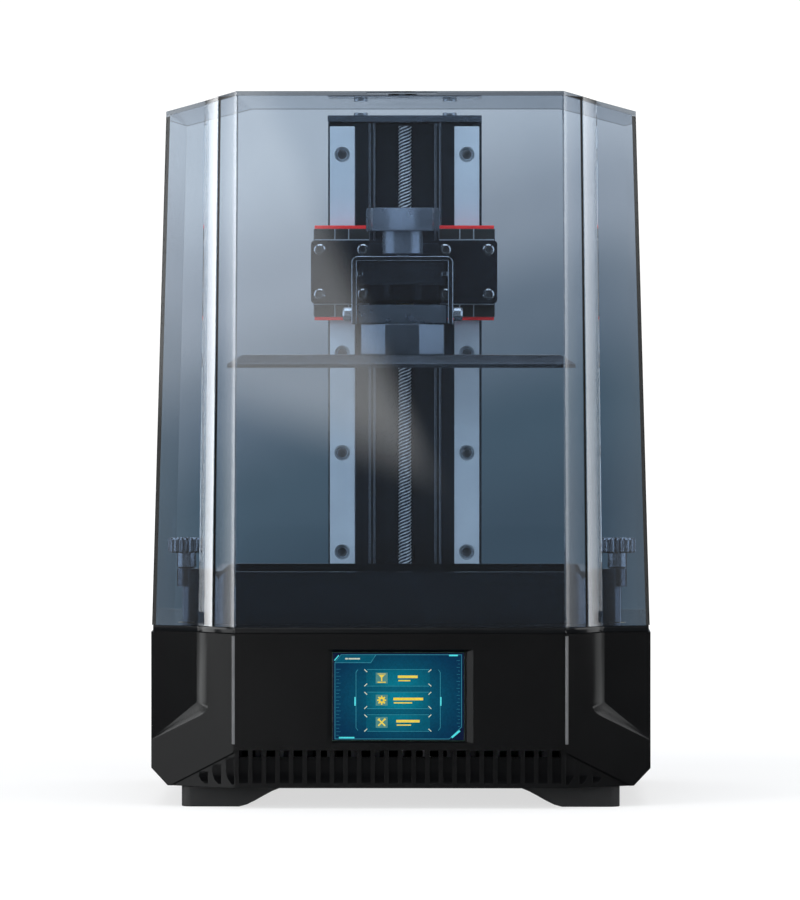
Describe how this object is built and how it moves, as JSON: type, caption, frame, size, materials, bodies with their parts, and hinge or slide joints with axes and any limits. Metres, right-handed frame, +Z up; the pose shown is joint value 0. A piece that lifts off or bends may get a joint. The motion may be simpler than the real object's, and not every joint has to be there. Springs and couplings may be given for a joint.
{
  "type": "resin printer",
  "caption": "Desktop resin printer: black base with touch screen, twin-rail Z column, build platform, resin vat and transparent lift-off cover.",
  "frame": {"origin": "middle of the footprint, on the surface that the feet stand on", "axes": "+Z up, +X to the right of someone facing the touch screen, +Y from the screen towards the back"},
  "size_m": [0.29, 0.27, 0.4139],
  "materials": {
    "black_plastic": "fine moulded texture, near black",
    "black_rubber": "matte black elastomer",
    "black_metal": "black anodised, satin",
    "vat_black": "black anodised, satin gloss",
    "deck": "dark satin sheet",
    "screen_glass": "lit touch panel behind gloss glass",
    "circuit_green": "solder mask green",
    "lcd": "dark polished panel",
    "lens": "clear moulded lens sheet",
    "aluminium": "machined, satin",
    "steel": "bright machined steel",
    "rail_steel": "ground rail steel",
    "knob_slate": "slate-grey anodised",
    "red_seal": "moulded red polymer",
    "brass": "turned brass",
    "film": "stretched clear film",
    "cover_acrylic": "transparent blue-grey acrylic, polished"
  },
  "bodies": {
    "base": {"base_pan": "black_metal", "base_shell": "black_plastic", "column_foot": "black_metal", "column_top_plate": "black_metal", "deck_insert_left": "brass", "deck_insert_right": "brass", "deck_plate": "deck", "display_module": "circuit_green", "fan_frame": "black_plastic", "foot_front_left": "black_rubber", "foot_front_right": "black_rubber", "foot_rear_left": "black_rubber", "foot_rear_right": "black_rubber", "lcd_glass": "lcd", "lcd_panel": "lcd", "led_board": "circuit_green", "light_heatsink": "aluminium", "light_lens": "lens", "light_shroud": "black_plastic", "limit_switch": "black_plastic", "mainboard": "circuit_green", "power_inlet": "black_plastic", "rail_left": "rail_steel", "rail_right": "rail_steel", "switch_bezel": "black_plastic", "top_screw_left": "steel", "top_screw_right": "steel", "touch_glass": "screen_glass", "usb_port": "steel", "z_column": "black_metal", "z_motor": "black_metal"},
    "cover": {"cover": "cover_acrylic"},
    "carriage": {"guide_block_left": "black_metal", "guide_block_right": "black_metal", "seal_left_top": "red_seal", "seal_left_bottom": "red_seal", "seal_right_top": "red_seal", "seal_right_bottom": "red_seal", "carriage_plate": "black_metal", "platform_arm": "black_metal", "nut_block": "aluminium", "lead_nut": "brass"},
    "screw_drive": {"lead_screw": "steel", "shaft_coupler": "aluminium", "motor_shaft": "steel"},
    "platform_head": {"head_bracket": "black_metal"},
    "knob": {"clamp_knob": "knob_slate"},
    "build_platform": {"tilt_bar": "black_metal", "clamp_bolt_left": "steel", "clamp_bolt_right": "steel", "plate_neck": "black_metal", "build_plate": "black_metal"},
    "vat": {"vat_frame": "vat_black", "vat_film": "film", "film_clamp_ring": "aluminium"},
    "thumb_left": {"thumb_screw_left": "knob_slate"},
    "thumb_right": {"thumb_screw_right": "knob_slate"},
    "fan": {"fan_rotor": "black_plastic"},
    "rocker": {"power_rocker": "black_plastic"}
  },
  "joints": [
    {"name": "cover_lift", "type": "slide", "parent": "base", "child": "cover", "axis": [0, 0, 1], "range_m": [0, 0.33]},
    {"name": "z_travel", "type": "slide", "parent": "base", "child": "carriage", "axis": [0, 0, 1], "range_m": [-0.147, 0.0535]},
    {"name": "screw_spin", "type": "hinge", "parent": "base", "child": "screw_drive", "pos_m": [0, 0.08, 0.2], "axis": [0, 0, 1], "range_deg": [-6621, 2413]},
    {"name": "platform_slide", "type": "slide", "parent": "carriage", "child": "platform_head", "axis": [0, -1, 0], "range_m": [0, 0.032]},
    {"name": "knob_turn", "type": "hinge", "parent": "platform_head", "child": "knob", "pos_m": [0, -0.021, 0.34], "axis": [0, 0, 1], "range_deg": [0, 720]},
    {"name": "platform_tilt", "type": "hinge", "parent": "platform_head", "child": "build_platform", "pos_m": [0, -0.021, 0.2855], "axis": [1, 0, 0], "range_deg": [-1, 1]},
    {"name": "vat_lift", "type": "slide", "parent": "base", "child": "vat", "axis": [0, 0, 1], "range_m": [0, 0.08]},
    {"name": "thumb_left_turn", "type": "hinge", "parent": "vat", "child": "thumb_left", "pos_m": [-0.126, -0.061, 0.14], "axis": [0, 0, 1], "range_deg": [0, 1080]},
    {"name": "thumb_right_turn", "type": "hinge", "parent": "vat", "child": "thumb_right", "pos_m": [0.126, -0.061, 0.14], "axis": [0, 0, 1], "range_deg": [0, 1080]},
    {"name": "fan_spin", "type": "hinge", "parent": "base", "child": "fan", "pos_m": [-0.07, 0.12, 0.056], "axis": [0, 1, 0], "continuous": true},
    {"name": "power_switch", "type": "hinge", "parent": "base", "child": "rocker", "pos_m": [0.078, 0.1316, 0.054], "axis": [1, 0, 0], "range_deg": [0, 16]}
  ],
  "couplings": [
    {"joint": "screw_spin", "follows": "z_travel", "rad_per_m": 785.4}
  ]
}
